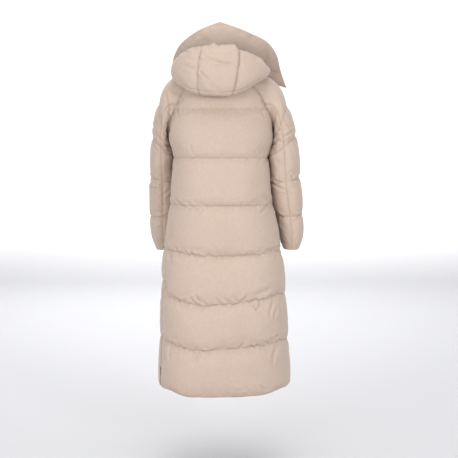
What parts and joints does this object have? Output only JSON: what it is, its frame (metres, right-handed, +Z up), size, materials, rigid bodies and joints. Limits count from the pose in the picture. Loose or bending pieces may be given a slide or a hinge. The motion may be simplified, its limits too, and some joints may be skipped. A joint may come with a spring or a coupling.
{
  "type": "long puffer coat",
  "caption": "Long quilted puffer coat, hollow and upright as worn, with an open standing collar, a hood hanging at the back, raglan sleeves and zips at front and sides.",
  "frame": {"origin": "the middle of the neck opening, level with the back of the neck seam, where the shoulders carry the coat", "axes": "+Z up, the front faces -Y and the wearer's left is +X"},
  "size_m": [0.6187, 0.4372, 1.4265],
  "materials": {
    "shell": "matte satin nylon, quilted over a soft fill",
    "zip_tape": "matte woven tape",
    "zip_metal": "satin bronze"
  },
  "bodies": {
    "coat": {"back": "shell", "front_left": "shell", "front_right": "shell", "top_sleeve_left": "shell", "under_sleeve_left": "shell", "top_sleeve_right": "shell", "under_sleeve_right": "shell", "collar": "shell", "hood_right": "shell", "hood_middle": "shell", "hood_left": "shell", "front_zip_left": "zip_tape", "front_zip_right": "zip_tape", "left_zip_rear": "zip_tape", "left_zip_fore": "zip_tape", "right_zip_rear": "zip_tape", "right_zip_fore": "zip_tape", "front_slider": "zip_metal", "left_slider": "zip_metal", "right_slider": "zip_metal"},
    "front_pull_tab": {"front_pull": "zip_metal"},
    "left_pull_tab": {"left_pull": "zip_metal"},
    "right_pull_tab": {"right_pull": "zip_metal"}
  },
  "joints": [
    {"name": "front_pull_swing", "type": "hinge", "parent": "coat", "child": "front_pull_tab", "pos_m": [0, -0.16247, -0.32971], "axis": [-1, 0, 0], "range_deg": [0, 170]},
    {"name": "left_pull_swing", "type": "hinge", "parent": "coat", "child": "left_pull_tab", "pos_m": [0.23781, 0.05022, -1.18753], "axis": [0.2335, -0.9722, -0.0156], "range_deg": [0, 170]},
    {"name": "right_pull_swing", "type": "hinge", "parent": "coat", "child": "right_pull_tab", "pos_m": [-0.26096, -0.04932, -1.18629], "axis": [-0.2375, 0.9713, -0.012], "range_deg": [0, 170]}
  ]
}
